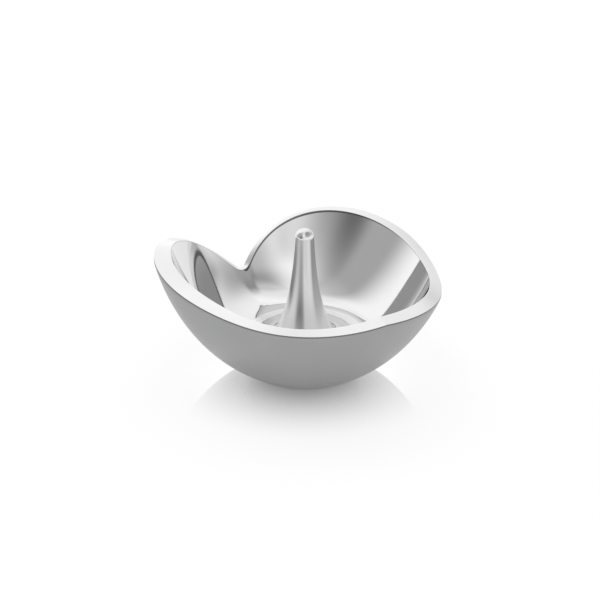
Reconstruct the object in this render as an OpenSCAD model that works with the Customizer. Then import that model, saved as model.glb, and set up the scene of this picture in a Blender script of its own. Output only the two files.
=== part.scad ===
// Heart-shaped ring dish: a thick cast bowl with a flared post standing in its middle.
// Millimetres, +Z up. The origin is on the table under the post's axis.
// The heart's tip points to -Y and its notch to +Y. Angles run round the post from the tip.

/* [Heart outline] */
// Reach of the rim's outer edge from the post's axis at the tip
tip_reach = 48.2; // [47:0.1:49]
// Reach a fifth of the way from the tip to the notch
cheek_reach = 47.7; // [47:0.1:49]
// Reach two fifths of the way
side_reach = 45.8; // [45:0.1:47]
// Reach three fifths of the way
shoulder_reach = 51.6; // [50.5:0.1:52.5]
// Reach four fifths of the way
lobe_reach = 57.8; // [57:0.1:59]
// Reach at the notch before the notch is pressed in
back_reach = 63.3; // [62.5:0.1:64.5]
// How far the notch is pressed in
notch_depth = 23.2; // [22:0.1:25]
// Angle over which the notch fades out
notch_spread = 41; // [38:1:44]
// Angle over which the bottom of the notch is rounded
notch_round = 1.5; // [1:0.5:4]
// Sideways shift of the whole rim, from the hand finishing
rim_shift = -0.5; // [-1.5:0.1:0]
// Swelling of one lobe and the cheek across from it
lobe_swell = 0.8; // [0:0.1:1.2]
// Swelling of one cheek and the shoulder across from it
cheek_swell = -1.1; // [-2:0.1:0]

/* [Rim height] */
// Height of the rim's outer edge at the tip, before the dip
tip_height = 40.1; // [39:0.1:41]
// Height a quarter of the way from the tip to the notch
side_height = 41.8; // [41:0.1:43]
// Height half way
middle_height = 51.3; // [50:0.1:52.5]
// Height three quarters of the way
lobe_height = 70.4; // [69.5:0.1:71.5]
// Height over the notch
back_height = 79.3; // [78:0.1:80.5]
// Depth of the dip that the notch lies in
dip_depth = 57.3; // [56:0.1:58.5]
// Angle over which the dip fades out
dip_spread = 67; // [65:1:69]
// Height that one side of the rim has over the other
side_lean = -1.3; // [-2:0.1:0]
// Height that one lobe has over the other
lobe_lean = -0.4; // [-1:0.1:0]

/* [Rim face] */
// Width of the flat rim face at the tip
tip_face = 4.6; // [4:0.1:5]
// Width of the rim face a third of the way to the notch
side_face = 4.3; // [3.8:0.1:4.8]
// Width of the rim face two thirds of the way
lobe_face = 5.4; // [4.8:0.1:5.8]
// Width of the rim face at the notch
notch_face = 2.1; // [1.8:0.1:2.8]
// Width that one side's face has over the other's
face_lean = -0.1; // [-0.4:0.1:0]
// Width that one lobe's face has over the other's
face_swell = 0.7; // [0:0.1:1]
// Slope of the rim face down and outward at the tip
tip_slope = 17; // [12:1:22]
// Slope of the rim face a third of the way to the notch
side_slope = 27; // [22:1:32]
// Slope of the rim face two thirds of the way
lobe_slope = 3; // [0:1:8]
// Slope of the rim face at the notch
notch_slope = 3; // [0:1:8]
// Slope that one side's face has over the other's
slope_lean = 2; // [0:1:5]

/* [Bowl outside] */
// Radius of the level middle of the outside, where the wall starts to curve up
outside_flat = 8; // [7:0.1:9]
// Turn of the outside's profile at the tip
tip_turn = 59; // [55:1:63]
// Turn of the outside's profile at the middle
middle_turn = 78; // [74:1:80]
// Turn of the outside's profile at the notch
notch_turn = 66; // [62:1:70]
// How far the outside swells half way up, where less than nothing is drawn in
outside_swell = -1.6; // [-2:0.1:0]

/* [Bowl inside] */
// Height of the bowl's floor over the table
floor_height = 13.8; // [13.2:0.1:14.4]
// Radius of the level floor
floor_radius = 19.6; // [18.5:0.1:20.5]
// Turn of the inside's profile at the tip
inside_tip_turn = 53; // [50:0.5:56]
// Turn of the inside's profile a third of the way from the tip to the notch
inside_cheek_turn = 34.5; // [32:0.5:38]
// Turn of the inside's profile two thirds of the way
inside_lobe_turn = 60.5; // [57:0.5:63]
// Turn of the inside's profile at the notch
inside_notch_turn = 31.5; // [28:0.5:35]
// Turn that one side's inside has over the other's
inside_lean = -7.4; // [-9:0.2:0]
// Turn that one lobe's inside has over the other's
inside_twist = 3.6; // [0:0.2:5]
// How far the inside swells half way up at the tip
inside_tip_swell = 0.8; // [0:0.1:1.5]
// How far the inside swells at the sides, where less than nothing is drawn in
inside_side_swell = -2.1; // [-2.8:0.1:0]
// How far the inside swells at the notch
inside_notch_swell = 0.6; // [0:0.1:1.2]

/* [Foot] */
// Radius of the turned foot
foot_radius = 13.5; // [13:0.1:15]
// Gap between the turned foot and the table, which the pad keeps
pad_proud = 0.3; // [0.2:0.1:0.5]
// Radius of the base pad
pad_radius = 11; // [10:0.1:12]
// Thickness of the base pad
pad_thickness = 1.2; // [1:0.1:1.5]

/* [Ring post] */
// Height of the post's tip over the table
post_height = 51.3; // [48:0.1:55]
// Radius that the straight part of the post starts from at its tip
post_tip_radius = 2.8; // [2.6:0.1:3.2]
// Growth of the post's radius for each millimetre down
post_taper = 0.022; // [0.01:0.002:0.05]
// Spread of the flare at the bowl's floor
flare_spread = 7; // [6.4:0.1:7.6]
// Height over which the flare grows
flare_rise = 11.5; // [10:0.1:12]
// Height of the fillet that runs the flare out into the foot
fillet_height = 3; // [2.6:0.1:3.4]
// Radius of the post's foot
post_foot_radius = 16; // [15:0.1:17]
// Depth of the seat that takes the post's foot
seat_depth = 1; // [0.8:0.1:1.4]

/* [Fixing screw] */
// Nominal diameter of the screw
screw_diameter = 4; // [3.5:0.5:4.5]
// Length of the screw that is held by the post
screw_grip = 9; // [7:0.5:10]
// Height of the screw's head
screw_head_height = 2.4; // [2:0.1:2.6]
// Thickness of the washer
washer_thickness = 0.8; // [0.6:0.1:1]
// Width of the six-sided socket in the screw's head, across its corners
socket_width = 2.9; // [2.5:0.1:3]
// Depth of the socket
socket_depth = 1.4; // [1:0.1:1.6]

/* [Fits] */
// Gap round the post's foot in its seat
seat_clearance = 0.1; // [0.05:0.01:0.2]
// Gap round the pad in its recess
pad_clearance = 0.15; // [0.1:0.01:0.3]
// Gap round the screw in the bowl's hole
screw_clearance = 0.15; // [0.1:0.01:0.3]
// Gap round the screw in the post's thread
thread_clearance = 0.03; // [0.02:0.01:0.05]
// Gap round the washer in the counterbore
washer_clearance = 0.4; // [0.3:0.05:0.6]

/* [Hidden] */

// Stations round the bowl, steps up a wall, and the small bevel on the rim's two edges
around = 144;
wall_steps = 10;
edge_bevel = 0.35;
round_steps = 96;

screw_radius = screw_diameter / 2;
head_radius = 0.9 * screw_diameter;
washer_radius = 1.1 * screw_diameter;
bore_radius = screw_radius + screw_clearance;
counterbore_radius = washer_radius + washer_clearance;
head_bottom = pad_thickness + 0.3;
washer_bottom = head_bottom + screw_head_height;
web_bottom = washer_bottom + washer_thickness;
seat_height = floor_height - seat_depth;
screw_top = seat_height + screw_grip;
foot_top = 1.5;

// Smooth even curve through values given at equal steps from the tip to the notch
function total(values, i = 0) = i == len(values) ? 0 : values[i] + total(values, i + 1);
function end_weight(k, last) = (k == 0 || k == last) ? 0.5 : 1;
function wave(values, j, last) =
    end_weight(j, last) * 2 / last
    * total([for (k = [0:last]) end_weight(k, last) * values[k] * cos(180 * j * k / last)]);
function waves(values) = [for (j = [0:len(values) - 1]) wave(values, j, len(values) - 1)];
function smooth(waves, a) = total([for (j = [0:len(waves) - 1]) waves[j] * cos(j * a)]);

reach_waves = waves([tip_reach, cheek_reach, side_reach, shoulder_reach, lobe_reach, back_reach]);
height_waves = waves([tip_height, side_height, middle_height, lobe_height, back_height]);
face_waves = waves([tip_face, side_face, lobe_face, notch_face]);
slope_waves = waves([tip_slope, side_slope, lobe_slope, notch_slope]);
turn_waves = waves([tip_turn, middle_turn, notch_turn]);
inside_waves = waves([inside_tip_turn, inside_cheek_turn, inside_lobe_turn, inside_notch_turn]);
swell_waves = waves([inside_tip_swell, inside_side_swell, inside_notch_swell]);

// Rim: its outer edge, the outward direction there, and its inner edge across the sloping face
function from_notch(a) = sqrt(pow(180 - abs(a), 2) + pow(notch_round, 2)) - notch_round;
function reach(a) =
    smooth(reach_waves, a) - notch_depth * exp(-from_notch(a) / notch_spread)
    + rim_shift * sin(a) + lobe_swell * sin(2 * a) + cheek_swell * sin(3 * a);
function rim_height(a) =
    smooth(height_waves, a) - dip_depth * exp(-from_notch(a) / dip_spread)
    + side_lean * sin(a) + lobe_lean * sin(2 * a);
function ray(a, r) = [r * sin(a), -r * cos(a)];
function along(a) = ray(a + 0.5, reach(a + 0.5)) - ray(a - 0.5, reach(a - 0.5));
function outward(a) = [along(a).y, -along(a).x] / norm(along(a));
function slope(a) = smooth(slope_waves, a) + slope_lean * sin(a);
function outer_edge(a) = let (p = ray(a, reach(a))) [p.x, p.y, rim_height(a)];
function face(a) = smooth(face_waves, a) + face_lean * sin(a) + face_swell * sin(2 * a);
function across(a) =
    let (n = outward(a) * cos(slope(a))) face(a) * [-n.x, -n.y, sin(slope(a))];
function inner_edge(a) = outer_edge(a) + across(a);

// A wall curves up from a level circle to an edge point as part of an ellipse, with a swell half way up
function curve(start, end, turn, swell, s) =
    let (
        run = [end.x - start.x, end.y - start.y],
        out = start + (end - start) * sin(s * turn) / sin(turn),
        pushed = swell * sin(180 * s) / norm(run)
    )
    [
        out.x + run.x * pushed,
        out.y + run.y * pushed,
        start.z + (end.z - start.z) * (1 - cos(s * turn)) / (1 - cos(turn)),
    ];
function level(a, r, z) = [r * sin(a), -r * cos(a), z];
function outside(a, s) =
    curve(level(a, outside_flat, 0), outer_edge(a), smooth(turn_waves, a), outside_swell, s);
function inside_turn(a) = smooth(inside_waves, a) + inside_lean * sin(a) + inside_twist * sin(2 * a);
function inside(a, s) =
    curve(level(a, floor_radius, floor_height), inner_edge(a), inside_turn(a), smooth(swell_waves, a), s);

// One section of the shell, from the underside over the rim to the floor
last_step = 0.985;
function section(a) = concat(
    [for (k = [0:wall_steps]) outside(a, last_step * k / wall_steps)],
    [outer_edge(a) + across(a) * edge_bevel / norm(across(a))],
    [inner_edge(a) - across(a) * edge_bevel / norm(across(a))],
    [for (k = [wall_steps:-1:0]) inside(a, last_step * k / wall_steps)]
);
section_length = 2 * (wall_steps + 1) + 2;

module shell() {
    sections = [for (i = [0:around - 1]) section(-180 + 360 * i / around)];
    points = concat([for (s = sections) each s], [[0, 0, 0], [0, 0, floor_height]]);
    under_pole = around * section_length;
    floor_pole = under_pole + 1;
    function at(i, j) = (i % around) * section_length + j;
    wall_faces = [
        for (i = [0:around - 1], j = [0:section_length - 2])
            each [
                [at(i, j), at(i, j + 1), at(i + 1, j + 1)],
                [at(i, j), at(i + 1, j + 1), at(i + 1, j)],
            ]
    ];
    pole_faces = [
        for (i = [0:around - 1])
            each [
                [under_pole, at(i, 0), at(i + 1, 0)],
                [floor_pole, at(i + 1, section_length - 1), at(i, section_length - 1)],
            ]
    ];
    polyhedron(points, concat(wall_faces, pole_faces), convexity = 6);
}

// Cast bowl with its turned foot, and the seat, hole and recesses for the other pieces
module bowl() {
    color([0.72, 0.72, 0.73])
    difference() {
        union() {
            shell();
            translate([0, 0, -1]) cylinder(r = foot_radius, h = foot_top + 1, $fn = round_steps);
        }
        translate([0, 0, -2]) cylinder(r = foot_radius + 4, h = 2 + pad_proud, $fn = round_steps);
        translate([0, 0, -2])
            cylinder(r = pad_radius + pad_clearance, h = 2 + pad_thickness, $fn = round_steps);
        cylinder(r = counterbore_radius, h = web_bottom, $fn = round_steps);
        cylinder(r = bore_radius, h = floor_height + 1, $fn = round_steps);
        translate([0, 0, seat_height])
            cylinder(r = post_foot_radius + seat_clearance, h = seat_depth + 1, $fn = round_steps);
    }
}

// Post: a domed tip, a slightly tapered stem, a flare, and a fillet that runs out into the foot
stem_top = post_height - post_tip_radius;
join_height = floor_height + fillet_height;
function stem_radius(z) =
    post_tip_radius + post_taper * (stem_top - z) + flare_spread * exp((floor_height - z) / flare_rise);
join_radius = stem_radius(join_height);
join_slope = 1 / (post_taper + flare_spread / flare_rise * exp(-fillet_height / flare_rise));
fillet_power = join_slope * (post_foot_radius - join_radius) / fillet_height;
function fillet_z(r) =
    floor_height
    + fillet_height * pow((post_foot_radius - r) / (post_foot_radius - join_radius), fillet_power);
dome_radius = stem_radius(stem_top);
post_section = concat(
    [[0, seat_height], [post_foot_radius, seat_height]],
    [for (k = [0:11]) let (r = post_foot_radius + (join_radius - post_foot_radius) * k / 12) [r, fillet_z(r)]],
    [for (k = [0:30]) let (z = join_height + (stem_top - join_height) * k / 30) [stem_radius(z), z]],
    [for (k = [1:9]) [dome_radius * cos(9 * k), stem_top + (post_height - stem_top) * sin(9 * k)]],
    [[0, post_height]]
);

module ring_post() {
    color([0.78, 0.78, 0.79])
    difference() {
        rotate_extrude($fn = round_steps) polygon(post_section);
        translate([0, 0, seat_height - 1])
            cylinder(r = screw_radius + thread_clearance, h = screw_grip + 2, $fn = round_steps);
    }
}

// Screw that draws the post down on its seat from under the bowl
module fixing_screw() {
    color([0.55, 0.55, 0.57])
    difference() {
        union() {
            translate([0, 0, head_bottom])
                cylinder(r = head_radius, h = screw_head_height, $fn = round_steps);
            translate([0, 0, washer_bottom])
                cylinder(r = screw_radius, h = screw_top - washer_bottom, $fn = round_steps);
        }
        translate([0, 0, head_bottom - 1])
            cylinder(r = socket_width / 2, h = 1 + socket_depth, $fn = 6);
    }
}

module washer() {
    color([0.6, 0.6, 0.62])
    translate([0, 0, washer_bottom])
    difference() {
        cylinder(r = washer_radius, h = washer_thickness, $fn = round_steps);
        translate([0, 0, -1]) cylinder(r = bore_radius, h = washer_thickness + 2, $fn = round_steps);
    }
}

// Soft pad that the dish stands on
module base_pad() {
    color([0.12, 0.12, 0.13])
    cylinder(r = pad_radius, h = pad_thickness, $fn = round_steps);
}

bowl();
ring_post();
fixing_screw();
washer();
base_pad();
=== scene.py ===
import math

import bmesh
import bpy
import numpy as np
from mathutils import Matrix, Vector


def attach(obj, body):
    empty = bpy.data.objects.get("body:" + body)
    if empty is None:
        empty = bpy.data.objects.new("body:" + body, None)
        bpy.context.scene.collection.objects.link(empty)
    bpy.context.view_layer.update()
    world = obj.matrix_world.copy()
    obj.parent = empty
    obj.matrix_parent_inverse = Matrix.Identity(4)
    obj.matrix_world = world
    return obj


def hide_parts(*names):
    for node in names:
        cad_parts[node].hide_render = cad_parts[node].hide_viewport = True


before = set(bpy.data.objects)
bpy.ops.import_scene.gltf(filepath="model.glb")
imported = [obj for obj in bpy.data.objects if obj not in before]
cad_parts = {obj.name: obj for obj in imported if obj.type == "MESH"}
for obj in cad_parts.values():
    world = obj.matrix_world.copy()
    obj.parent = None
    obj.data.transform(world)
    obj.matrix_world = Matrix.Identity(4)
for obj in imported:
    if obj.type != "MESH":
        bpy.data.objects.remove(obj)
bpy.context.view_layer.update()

# Sizes, in millimetres and degrees, the same as the solids' own
REACHES = [48.2, 47.7, 45.8, 51.6, 57.8, 63.3]
NOTCH_DEPTH = 23.2
NOTCH_SPREAD = 41
NOTCH_ROUND = 1.5
RIM_SHIFT = -0.5
LOBE_SWELL = 0.8
CHEEK_SWELL = -1.1
HEIGHTS = [40.1, 41.8, 51.3, 70.4, 79.3]
DIP_DEPTH = 57.3
DIP_SPREAD = 67
SIDE_LEAN = -1.3
LOBE_LEAN = -0.4
FACES = [4.6, 4.3, 5.4, 2.1]
FACE_LEAN = -0.1
FACE_SWELL = 0.7
SLOPES = [17, 27, 3, 3]
SLOPE_LEAN = 2
OUTSIDE_FLAT = 8
OUTSIDE_TURNS = [59, 78, 66]
OUTSIDE_SWELL = -1.6
FLOOR_HEIGHT = 13.8
FLOOR_RADIUS = 19.6
INSIDE_TURNS = [53, 34.5, 60.5, 31.5]
INSIDE_LEAN = -7.4
INSIDE_TWIST = 3.6
INSIDE_SWELLS = [0.8, -2.1, 0.6]
FOOT_RADIUS = 13.5
PAD_PROUD = 0.3
PAD_THICKNESS = 1.2
PAD_RADIUS = 11
PAD_CLEARANCE = 0.15
POST_HEIGHT = 51.3
POST_TIP_RADIUS = 2.8
POST_TAPER = 0.022
FLARE_SPREAD = 7
FLARE_RISE = 11.5
FILLET_HEIGHT = 3
POST_FOOT_RADIUS = 16
SEAT_DEPTH = 1
SEAT_CLEARANCE = 0.1
BORE_RADIUS = 2.15
THREAD_RADIUS = 2.03
THREAD_DEPTH = 10
COUNTERBORE_RADIUS = 4.8
WEB_BOTTOM = 4.7
MM = 0.001


def waves(values):
    last = len(values) - 1
    k = np.arange(last + 1)
    ends = np.where((k == 0) | (k == last), 0.5, 1.0)
    terms = [2 / last * np.sum(ends * values * np.cos(np.pi * j * k / last)) for j in k]
    return np.array(terms) * ends


def smooth(values, a):
    return sum(w * np.cos(j * a) for j, w in enumerate(waves(np.array(values, float))))


def from_notch(a):
    rounding = math.radians(NOTCH_ROUND)
    return np.hypot(np.pi - np.abs(a), rounding) - rounding


def reach(a):
    notch = NOTCH_DEPTH * np.exp(-from_notch(a) / math.radians(NOTCH_SPREAD))
    uneven = RIM_SHIFT * np.sin(a) + LOBE_SWELL * np.sin(2 * a) + CHEEK_SWELL * np.sin(3 * a)
    return smooth(REACHES, a) - notch + uneven


def rim_height(a):
    dip = DIP_DEPTH * np.exp(-from_notch(a) / math.radians(DIP_SPREAD))
    return smooth(HEIGHTS, a) - dip + SIDE_LEAN * np.sin(a) + LOBE_LEAN * np.sin(2 * a)


def ring(a, r, z):
    return np.stack([r * np.sin(a), -r * np.cos(a), z + 0 * a], -1)


def wrapped(a):
    return (a + np.pi) % (2 * np.pi) - np.pi


TANGENT_STEP = math.radians(0.5)


def across(a):
    """From the rim's outer edge to its inner edge, over the sloping face."""
    before = a - TANGENT_STEP
    after = a + TANGENT_STEP
    along = ring(after, reach(wrapped(after)), 0) - ring(before, reach(wrapped(before)), 0)
    along /= np.linalg.norm(along, axis=1)[:, None]
    slope = np.radians(smooth(SLOPES, a) + SLOPE_LEAN * np.sin(a))
    width = smooth(FACES, a) + FACE_LEAN * np.sin(a) + FACE_SWELL * np.sin(2 * a)
    level = width * np.cos(slope)
    return np.stack([-along[:, 1] * level, along[:, 0] * level, width * np.sin(slope)], -1)


def wall(start, end, turn, swell, s):
    """Curves up from a level circle to an edge, with a swell half way up."""
    level = np.sin(s * turn) / np.sin(turn)
    rise = (1 - np.cos(s * turn)) / (1 - np.cos(turn))
    run = (end - start) * [1, 1, 0]
    pushed = swell * np.sin(np.pi * s) / np.linalg.norm(run, axis=1)
    return start + (end - start) * np.stack([level, level, rise], -1) + run * pushed[:, None]


def outside(a, s):
    outer = ring(a, reach(a), rim_height(a))
    turn = np.radians(smooth(OUTSIDE_TURNS, a))
    return wall(ring(a, OUTSIDE_FLAT, 0), outer, turn, OUTSIDE_SWELL, s)


def inside(a, s):
    inner = ring(a, reach(a), rim_height(a)) + across(a)
    turn = np.radians(smooth(INSIDE_TURNS, a) + INSIDE_LEAN * np.sin(a) + INSIDE_TWIST * np.sin(2 * a))
    return wall(ring(a, FLOOR_RADIUS, FLOOR_HEIGHT), inner, turn, smooth(INSIDE_SWELLS, a), s)


def unit(v):
    return v / np.linalg.norm(v, axis=1)[:, None]


def lofted(name, rows, kinds, materials):
    """Mesh from rows of ring points. Each row has one point for every station, and the rings close."""
    count = len(rows[0])
    mesh = bpy.data.meshes.new(name)
    points = np.concatenate(rows) * MM
    faces = []
    slots = []
    for j in range(len(rows) - 1):
        for i in range(count):
            after = (i + 1) % count
            faces.append((j * count + i, j * count + after, (j + 1) * count + after, (j + 1) * count + i))
            slots.append(kinds[j])
    mesh.from_pydata(points.tolist(), [], faces)
    mesh.polygons.foreach_set("material_index", slots)
    for material in materials:
        mesh.materials.append(material)
    piece = bpy.data.objects.new(name, mesh)
    bpy.context.scene.collection.objects.link(piece)
    return piece


MERGE_WITHIN = 0.0001 * MM
SHARP_ANGLE = 40


def finish_mesh(piece):
    """Closes the mesh and smooths its shading, except over sharp corners."""
    work = bmesh.new()
    work.from_mesh(piece.data)
    bmesh.ops.remove_doubles(work, verts=work.verts, dist=MERGE_WITHIN)
    bmesh.ops.recalc_face_normals(work, faces=work.faces)
    work.to_mesh(piece.data)
    work.free()
    piece.data.shade_smooth()
    piece.data.set_sharp_from_angle(angle=math.radians(SHARP_ANGLE))
    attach(piece, "root")


# Materials
def new_material(name):
    material = bpy.data.materials.new(name)
    material.use_nodes = True
    nodes = material.node_tree.nodes
    return material, nodes, material.node_tree.links, nodes["Principled BSDF"]


def calculate(tree, operation, *values):
    """One step of arithmetic. Each value is a number or another step's output."""
    step = tree.nodes.new("ShaderNodeMath")
    step.operation = operation
    for slot, value in enumerate(values):
        if isinstance(value, (int, float)):
            step.inputs[slot].default_value = value
        else:
            tree.links.new(value, step.inputs[slot])
    return step.outputs["Value"]


GRAIN_DETAIL = 4
GRAIN_HEIGHT = 0.05 * MM
MOTTLE_SIZE = 60
MOTTLE_DETAIL = 3
MOTTLE_DARKEST = 0.96
MOTTLE_RANGE = (0.3, 0.7)
RING_HEIGHT = 0.1 * MM
RING_WAVER = 1.5
# How far apart a wave texture's rings lie at a scale of 1
WAVE_SPACING = math.pi / 10


def metal(name, colour, roughness, spread, grain, grain_size, bump):
    """Metal whose roughness and height vary with a stretched grain and a broad mottling."""
    material, nodes, links, shader = new_material(name)
    shader.inputs["Metallic"].default_value = 1
    where = nodes.new("ShaderNodeTexCoord")
    stretch = nodes.new("ShaderNodeMapping")
    stretch.inputs["Scale"].default_value = grain
    links.new(where.outputs["Object"], stretch.inputs["Vector"])
    fine = nodes.new("ShaderNodeTexNoise")
    fine.inputs["Scale"].default_value = grain_size
    fine.inputs["Detail"].default_value = GRAIN_DETAIL
    links.new(stretch.outputs["Vector"], fine.inputs["Vector"])
    broad = nodes.new("ShaderNodeTexNoise")
    broad.inputs["Scale"].default_value = MOTTLE_SIZE
    broad.inputs["Detail"].default_value = MOTTLE_DETAIL
    links.new(where.outputs["Object"], broad.inputs["Vector"])
    level = nodes.new("ShaderNodeMapRange")
    level.inputs["To Min"].default_value = roughness - spread
    level.inputs["To Max"].default_value = roughness + spread
    links.new(fine.outputs["Fac"], level.inputs["Value"])
    links.new(level.outputs["Result"], shader.inputs["Roughness"])
    tone = nodes.new("ShaderNodeValToRGB")
    tone.color_ramp.elements[0].position = MOTTLE_RANGE[0]
    tone.color_ramp.elements[0].color = [c * MOTTLE_DARKEST for c in colour] + [1]
    tone.color_ramp.elements[1].position = MOTTLE_RANGE[1]
    tone.color_ramp.elements[1].color = list(colour) + [1]
    links.new(broad.outputs["Fac"], tone.inputs["Fac"])
    links.new(tone.outputs["Color"], shader.inputs["Base Color"])
    relief = nodes.new("ShaderNodeBump")
    relief.inputs["Strength"].default_value = bump
    relief.inputs["Distance"].default_value = GRAIN_HEIGHT
    links.new(fine.outputs["Fac"], relief.inputs["Height"])
    links.new(relief.outputs["Normal"], shader.inputs["Normal"])
    return material


def turning_marks(material, spacing, bump):
    """Adds fine rings round the post's axis, as a lathe leaves them."""
    nodes = material.node_tree.nodes
    links = material.node_tree.links
    where = nodes.new("ShaderNodeTexCoord")
    rings = nodes.new("ShaderNodeTexWave")
    rings.wave_type = "RINGS"
    rings.rings_direction = "Z"
    rings.inputs["Scale"].default_value = WAVE_SPACING / (spacing * MM)
    rings.inputs["Distortion"].default_value = RING_WAVER
    relief = nodes.new("ShaderNodeBump")
    relief.inputs["Strength"].default_value = bump
    relief.inputs["Distance"].default_value = RING_HEIGHT
    shader = nodes["Principled BSDF"]
    links.new(where.outputs["Object"], rings.inputs["Vector"])
    links.new(rings.outputs["Fac"], relief.inputs["Height"])
    links.new(shader.inputs["Normal"].links[0].from_socket, relief.inputs["Normal"])
    links.new(relief.outputs["Normal"], shader.inputs["Normal"])


WHITE = (1, 1, 1, 1)
POLISHED = (0.74, 0.74, 0.745)
EVEN = (1, 1, 1)
MIRROR = metal(
    "polished_metal", colour=POLISHED, roughness=0.05, spread=0.015,
    grain=EVEN, grain_size=300, bump=0.02,
)
POST_METAL = metal(
    "polished_post", colour=POLISHED, roughness=0.07, spread=0.02,
    grain=(1, 1, 0.2), grain_size=900, bump=0.04,
)
SATIN_RIM = metal(
    "satin_rim", colour=(0.77, 0.77, 0.772), roughness=0.2, spread=0.05,
    grain=(1, 1, 6), grain_size=900, bump=0.12,
)
# The outside's base colour is far darker than the rim's satin metal: painted shade, standing in for the
# shade on the outside where it faces down towards the floor
OUTSIDE_PAINTED_SHADE = metal(
    "outside_satin_painted_shade", colour=(0.36, 0.36, 0.365), roughness=0.42, spread=0.06,
    grain=(1, 1, 5), grain_size=900, bump=0.25,
)
TURNED = metal(
    "turned_floor", colour=(0.92, 0.92, 0.922), roughness=0.2, spread=0.03,
    grain=EVEN, grain_size=400, bump=0.05,
)
turning_marks(TURNED, spacing=1, bump=0.1)
# A very dark metal for thin strips at the rim's edges: painted reflection, dark lines standing in for what
# the polished edges reflect
PAINTED_EDGE_REFLECTION = metal(
    "painted_edge_reflection", colour=(0.17, 0.17, 0.175), roughness=0.3, spread=0.05,
    grain=EVEN, grain_size=900, bump=0.1,
)


# Bowl: from the bore under the foot and up the outside, over the rim, down the inside, and into the bore
STATIONS = 540
WALL_ROWS = 44
FACE_STEPS = 6
ROUNDING_STEPS = 5
HALVINGS = 30
OUTSIDE, RIM, INSIDE, LINE, FLAT = 0, 1, 2, 3, 4
# Shares of the way up a wall: the foot lies below the first, the inner edge is rounded towards the second,
# and the outside ends at the third, where the rim's bevel begins
HALF_WAY = 0.5
NEAR_EDGE = 0.97
LAST_STEP = 0.985
# Small edges, in millimetres
EDGE_BEVEL = 0.35
FOOT_EDGE = 0.15
INNER_ROUND = 0.15
# Widths of the painted dark line inside the rim, which is a painted reflection, and the angles from the tip
# over which it grows and then flares
NO_LINE = 0.02
INNER_LINE = 0.4
LINE_START = 95
LINE_GROWTH = 50
NOTCH_LINE = 0.5
NOTCH_ANGLE = 180
NOTCH_LINE_FADE = 7


def rounded(corner, before, after, radius):
    """Rounds a corner between two directions, a row at a time."""
    rows = []
    for k in range(ROUNDING_STEPS + 1):
        t = k / ROUNDING_STEPS
        rows.append(corner + before * radius * (1 - t) ** 2 + after * radius * t ** 2)
    return rows


def foot_share(a):
    """How far up the outside the foot's radius lies."""
    low = np.zeros_like(a)
    high = np.full_like(a, HALF_WAY)
    for _ in range(HALVINGS):
        middle = (low + high) / 2
        point = outside(a, middle)
        within = np.hypot(point[:, 0], point[:, 1]) < FOOT_RADIUS
        low = np.where(within, middle, low)
        high = np.where(within, high, middle)
    return low


def painted_line_width(a):
    """Width of the painted dark line inside the rim, a painted reflection, widest beside the notch on the
    right lobe.
    """
    along = np.degrees(a)
    grown = np.clip((along - LINE_START) / LINE_GROWTH, 0, 1)
    return NO_LINE + INNER_LINE * grown + NOTCH_LINE * np.exp((along - NOTCH_ANGLE) / NOTCH_LINE_FADE)


def up_to_line(wall_edge, foot, width):
    """Share of a wall's length that lies under a line of this width at its edge."""
    return 1 - width / np.linalg.norm(wall_edge - foot, axis=1)


def make_bowl():
    a = np.linspace(-np.pi, np.pi, STATIONS, endpoint=False)
    outer = ring(a, reach(a), rim_height(a))
    over = across(a)
    inner = outer + over
    pad_edge = PAD_RADIUS + PAD_CLEARANCE
    rows = [
        ring(a, BORE_RADIUS, WEB_BOTTOM),
        ring(a, COUNTERBORE_RADIUS, WEB_BOTTOM),
        ring(a, COUNTERBORE_RADIUS, PAD_THICKNESS),
        ring(a, pad_edge, PAD_THICKNESS),
        ring(a, pad_edge, PAD_PROUD),
        ring(a, FOOT_RADIUS - FOOT_EDGE, PAD_PROUD),
        ring(a, FOOT_RADIUS, PAD_PROUD + FOOT_EDGE),
    ]
    start = foot_share(a)
    for k in range(WALL_ROWS + 1):
        rows.append(outside(a, start + (LAST_STEP - start) * k / WALL_ROWS))
    bevel_end = outer + unit(over) * EDGE_BEVEL
    rows.append((rows[-1] + bevel_end) / 2)
    bevel_middle = len(rows)
    rows.append(bevel_end)
    # The first step across the face is left out, because the bevel ends near it
    for k in range(2, FACE_STEPS):
        rows.append(outer + over * k / FACE_STEPS)
    rows += rounded(inner, -unit(over), unit(inside(a, np.full_like(a, NEAR_EDGE)) - inner), INNER_ROUND)
    face_end = len(rows)
    end = up_to_line(inner, ring(a, FLOOR_RADIUS, FLOOR_HEIGHT), INNER_ROUND + painted_line_width(a))
    for k in range(WALL_ROWS, -1, -1):
        rows.append(inside(a, end * k / WALL_ROWS))
    seat_edge = POST_FOOT_RADIUS + SEAT_CLEARANCE
    rows += [
        ring(a, seat_edge, FLOOR_HEIGHT),
        ring(a, seat_edge, FLOOR_HEIGHT - SEAT_DEPTH),
        ring(a, BORE_RADIUS, FLOOR_HEIGHT - SEAT_DEPTH),
        ring(a, BORE_RADIUS, WEB_BOTTOM),
    ]
    # The strip from the bevel's middle to its end, and the strip at the inner edge, take the painted dark
    # line, a painted reflection
    kinds = [OUTSIDE] * (bevel_middle - 1) + [LINE]
    kinds += [RIM] * (face_end - 1 - len(kinds)) + [LINE]
    kinds += [INSIDE] * WALL_ROWS + [FLAT]
    kinds += [INSIDE] * (len(rows) - 1 - len(kinds))
    # The outside's material has its base colour darkened as painted shade
    piece = lofted("dish_bowl", rows, kinds, [OUTSIDE_PAINTED_SHADE, SATIN_RIM, MIRROR, PAINTED_EDGE_REFLECTION, TURNED])
    finish_mesh(piece)
    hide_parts("bowl")


# Post
POST_STATIONS = 192
FILLET_ROWS = 24
STEM_ROWS = 60
DOME_ROWS = 24


def stem_radius(z):
    stem_top = POST_HEIGHT - POST_TIP_RADIUS
    flare = FLARE_SPREAD * np.exp((FLOOR_HEIGHT - z) / FLARE_RISE)
    return POST_TIP_RADIUS + POST_TAPER * (stem_top - z) + flare


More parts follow.
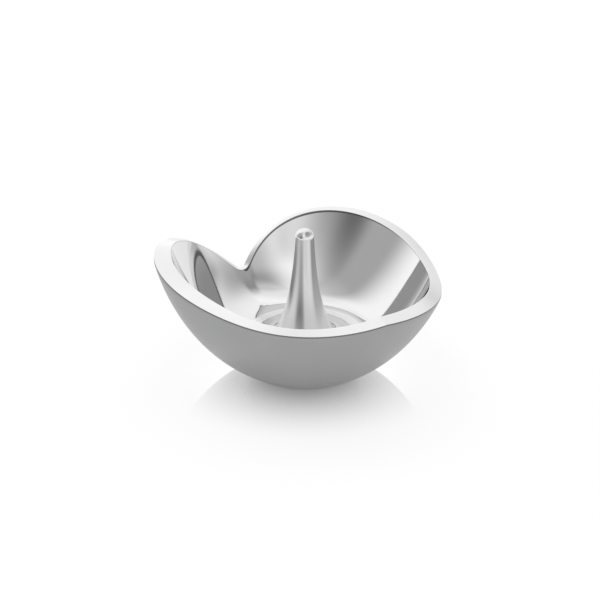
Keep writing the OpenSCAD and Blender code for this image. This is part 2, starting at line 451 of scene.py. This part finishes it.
def post_profile():
    """Outline from the end of the threaded hole, down and round the foot, and up to the tip."""
    seat = FLOOR_HEIGHT - SEAT_DEPTH
    hole_top = seat + THREAD_DEPTH
    stem_top = POST_HEIGHT - POST_TIP_RADIUS
    join = FLOOR_HEIGHT + FILLET_HEIGHT
    join_radius = stem_radius(join)
    join_slope = 1 / (POST_TAPER + FLARE_SPREAD / FLARE_RISE * math.exp(-FILLET_HEIGHT / FLARE_RISE))
    power = join_slope * (POST_FOOT_RADIUS - join_radius) / FILLET_HEIGHT
    profile = [(0, hole_top), (THREAD_RADIUS, hole_top), (THREAD_RADIUS, seat), (POST_FOOT_RADIUS, seat)]
    for r in np.linspace(POST_FOOT_RADIUS, join_radius, FILLET_ROWS, endpoint=False):
        share = (POST_FOOT_RADIUS - r) / (POST_FOOT_RADIUS - join_radius)
        profile.append((r, FLOOR_HEIGHT + FILLET_HEIGHT * share ** power))
    for z in np.linspace(join, stem_top, STEM_ROWS):
        profile.append((stem_radius(z), z))
    dome = stem_radius(stem_top)
    for t in np.radians(np.linspace(0, 90, DOME_ROWS + 1)[1:-1]):
        profile.append((dome * math.cos(t), stem_top + (POST_HEIGHT - stem_top) * math.sin(t)))
    profile.append((0, POST_HEIGHT))
    return profile


def make_post():
    a = np.linspace(-np.pi, np.pi, POST_STATIONS, endpoint=False)
    rows = [ring(a, r, z) for r, z in post_profile()]
    piece = lofted("dish_post", rows, [0] * (len(rows) - 1), [POST_METAL])
    finish_mesh(piece)
    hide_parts("ring_post")


make_bowl()
make_post()

# Screw, washer and pad keep their solids
STEEL = metal(
    "screw_steel", colour=(0.55, 0.55, 0.57), roughness=0.3, spread=0.08,
    grain=EVEN, grain_size=1500, bump=0.3,
)
FELT_ROUGHNESS = 0.95
FELT_SHEEN = 0.4
FIBRE_SIZE = 2500
FIBRE_DETAIL = 6
FIBRE_DARK = (0.006, 0.006, 0.007, 1)
FIBRE_PALE = (0.04, 0.04, 0.043, 1)
FIBRE_BUMP = 0.6
FIBRE_HEIGHT = 0.2 * MM


def felt(name):
    material, nodes, links, shader = new_material(name)
    shader.inputs["Roughness"].default_value = FELT_ROUGHNESS
    shader.inputs["Sheen Weight"].default_value = FELT_SHEEN
    where = nodes.new("ShaderNodeTexCoord")
    fibres = nodes.new("ShaderNodeTexNoise")
    fibres.inputs["Scale"].default_value = FIBRE_SIZE
    fibres.inputs["Detail"].default_value = FIBRE_DETAIL
    links.new(where.outputs["Object"], fibres.inputs["Vector"])
    tone = nodes.new("ShaderNodeValToRGB")
    tone.color_ramp.elements[0].color = FIBRE_DARK
    tone.color_ramp.elements[1].color = FIBRE_PALE
    links.new(fibres.outputs["Fac"], tone.inputs["Fac"])
    links.new(tone.outputs["Color"], shader.inputs["Base Color"])
    relief = nodes.new("ShaderNodeBump")
    relief.inputs["Strength"].default_value = FIBRE_BUMP
    relief.inputs["Distance"].default_value = FIBRE_HEIGHT
    links.new(fibres.outputs["Fac"], relief.inputs["Height"])
    links.new(relief.outputs["Normal"], shader.inputs["Normal"])
    return material


FELT = felt("pad_felt")
for node_name, material in (("fixing_screw", STEEL), ("washer", STEEL), ("base_pad", FELT)):
    node_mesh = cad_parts[node_name].data
    node_mesh.materials.clear()
    node_mesh.materials.append(material)

# Camera: the view's heading and height, and where the point under the post lies in the frame
VIEW_SIDE = math.radians(-33)
VIEW_UP = math.radians(25.5)
PIXEL = MM / 3
FOCAL = 2500
FRAME_WIDTH = 600
BASE_ACROSS = 304.4
BASE_DOWN = 369.7
SENSOR = 36
FAR_CLIP = 20
away = Vector((-math.sin(VIEW_SIDE), math.cos(VIEW_SIDE), 0))
right = Vector((math.cos(VIEW_SIDE), math.sin(VIEW_SIDE), 0))
up = Vector((away.x * math.sin(VIEW_UP), away.y * math.sin(VIEW_UP), math.cos(VIEW_UP)))
back = right.cross(up)
base_in_view = Vector((BASE_ACROSS - FRAME_WIDTH / 2, FRAME_WIDTH / 2 - BASE_DOWN, -FOCAL)) * PIXEL
place = -(right * base_in_view.x + up * base_in_view.y + back * base_in_view.z)
camera = bpy.data.objects.new("camera", bpy.data.cameras.new("camera"))
camera.data.sensor_width = SENSOR
camera.data.lens = SENSOR * FOCAL / FRAME_WIDTH
turned = Matrix((right, up, back)).transposed().to_4x4()
camera.matrix_world = Matrix.Translation(place) @ turned
camera.data.clip_end = FAR_CLIP
bpy.context.scene.collection.objects.link(camera)
bpy.context.scene.camera = camera

# Floor
floor_mesh = bpy.data.meshes.new("floor")
FLOOR_HALF = 4.0
FLOOR_BELOW = 0.05 * MM
FLOOR_GREY = 0.3
FLOOR_GLOW = 0.78
FLOOR_ROUGHNESS = 0.04
corners = [(-1, -1), (1, -1), (1, 1), (-1, 1)]
floor_mesh.from_pydata([(x * FLOOR_HALF, y * FLOOR_HALF, 0) for x, y in corners], [], [(0, 1, 2, 3)])
floor = bpy.data.objects.new("floor", floor_mesh)
floor.location.z = -FLOOR_BELOW
bpy.context.scene.collection.objects.link(floor)
FLOOR_PAINT, floor_nodes, floor_links, floor_shader = new_material("floor")
floor_nodes.remove(floor_shader)
# Its glow shows to the camera, in reflections and through glass, so it isn't sampled as a lamp's
FLOOR_PAINT.cycles.emission_sampling = "NONE"
# Glossy close to the foot and matt white further out
GLOSS_FROM = 0
GLOSS_TO = 51 * MM
GLOSS_MOST = 0.93
place_node = floor_nodes.new("ShaderNodeNewGeometry")
distance = floor_nodes.new("ShaderNodeVectorMath")
distance.operation = "LENGTH"
floor_links.new(place_node.outputs["Position"], distance.inputs[0])
fade = floor_nodes.new("ShaderNodeMapRange")
fade.interpolation_type = "SMOOTHSTEP"
fade.inputs["From Min"].default_value = GLOSS_FROM
fade.inputs["From Max"].default_value = GLOSS_TO
fade.inputs["To Min"].default_value = GLOSS_MOST
fade.inputs["To Max"].default_value = 0
floor_links.new(distance.outputs["Value"], fade.inputs["Value"])
matt = floor_nodes.new("ShaderNodeBsdfDiffuse")
matt.inputs["Color"].default_value = (FLOOR_GREY, FLOOR_GREY, FLOOR_GREY, 1)
glow = floor_nodes.new("ShaderNodeEmission")
path = floor_nodes.new("ShaderNodeLightPath")
tree = FLOOR_PAINT.node_tree
mirrored = calculate(tree, "MAXIMUM", path.outputs["Is Glossy Ray"], path.outputs["Is Transmission Ray"])
shown = calculate(tree, "MAXIMUM", path.outputs["Is Camera Ray"], mirrored)
floor_links.new(calculate(tree, "MULTIPLY", shown, FLOOR_GLOW), glow.inputs["Strength"])
white = floor_nodes.new("ShaderNodeAddShader")
floor_links.new(matt.outputs["BSDF"], white.inputs[0])
floor_links.new(glow.outputs["Emission"], white.inputs[1])
gloss = floor_nodes.new("ShaderNodeBsdfGlossy")
gloss.inputs["Color"].default_value = WHITE
gloss.inputs["Roughness"].default_value = FLOOR_ROUGHNESS
floor_mix = floor_nodes.new("ShaderNodeMixShader")
floor_links.new(fade.outputs["Result"], floor_mix.inputs["Fac"])
floor_links.new(white.outputs["Shader"], floor_mix.inputs[1])
floor_links.new(gloss.outputs["BSDF"], floor_mix.inputs[2])
floor_links.new(floor_mix.outputs["Shader"], floor_nodes["Material Output"].inputs["Surface"])
floor_mesh.materials.append(FLOOR_PAINT)

# Studio: a white tent with soft grey panels all round, which the polished metal mirrors
TENT_LIGHT = 1.25
world = bpy.data.worlds.new("studio")
bpy.context.scene.world = world
world.use_nodes = True
studio = world.node_tree
studio.nodes.clear()
output = studio.nodes.new("ShaderNodeOutputWorld")
room = studio.nodes.new("ShaderNodeBackground")
room.inputs["Color"].default_value = WHITE
studio.links.new(room.outputs["Background"], output.inputs["Surface"])
where = studio.nodes.new("ShaderNodeTexCoord")


def component(direction):
    dot = studio.nodes.new("ShaderNodeVectorMath")
    dot.operation = "DOT_PRODUCT"
    dot.inputs[1].default_value = direction
    studio.links.new(where.outputs["Generated"], dot.inputs[0])
    return dot.outputs["Value"]


def in_degrees(angle):
    return calculate(studio, "MULTIPLY", angle, 180 / math.pi)


def ramp_up(value, start, end):
    step = studio.nodes.new("ShaderNodeMapRange")
    step.interpolation_type = "SMOOTHSTEP"
    step.inputs["From Min"].default_value = start
    step.inputs["From Max"].default_value = end
    studio.links.new(value, step.inputs["Value"])
    return step.outputs["Result"]


def band(value, start, end, soft_start, soft_end):
    """1 between start and end and 0 elsewhere, with soft edges."""
    rise = ramp_up(value, start - soft_start / 2, start + soft_start / 2)
    fall = ramp_up(value, end - soft_end / 2, end + soft_end / 2)
    return calculate(studio, "MULTIPLY", rise, calculate(studio, "SUBTRACT", 1, fall))


heading = in_degrees(calculate(studio, "ARCTAN2", component(right), component(-away)))
height = in_degrees(calculate(studio, "ARCSINE", component((0, 0, 1))))


def darken(light, headings, heading_softness, heights, height_softness, depth):
    """Hangs a grey panel in the tent. Angles are in degrees, with headings from the camera to its right."""
    beside = band(heading, *headings, *heading_softness)
    above = band(height, *heights, *height_softness)
    taken = calculate(studio, "MULTIPLY", calculate(studio, "MULTIPLY", beside, above), depth)
    return calculate(studio, "SUBTRACT", light, taken)


light = TENT_LIGHT
# The wall on the camera's left, darker where it comes near the camera
light = darken(light, (-110, -35), (40, 40), (-40, 70), (20, 50), 0.75)
light = darken(light, (-50, -20), (30, 15), (-40, 40), (20, 50), 0.6)
# The camera itself
light = darken(light, (-20, 0), (15, 15), (-40, 45), (20, 20), 0.3)
# The high wall on the right, and a low one behind it
light = darken(light, (10, 135), (50, 60), (20, 80), (50, 35), 0.8)
light = darken(light, (110, 165), (15, 30), (-25, 25), (30, 10), 0.35)
# The wall behind the dish, in two halves because headings end at 180
light = darken(light, (150, 200), (20, 20), (15, 50), (10, 10), 0.1)
light = darken(light, (-200, -150), (20, 20), (15, 50), (10, 10), 0.1)
# The ceiling
light = darken(light, (-200, 200), (20, 20), (65, 120), (25, 20), 0.2)
studio.links.new(light, room.inputs["Strength"])

bpy.context.scene.view_settings.view_transform = "Standard"
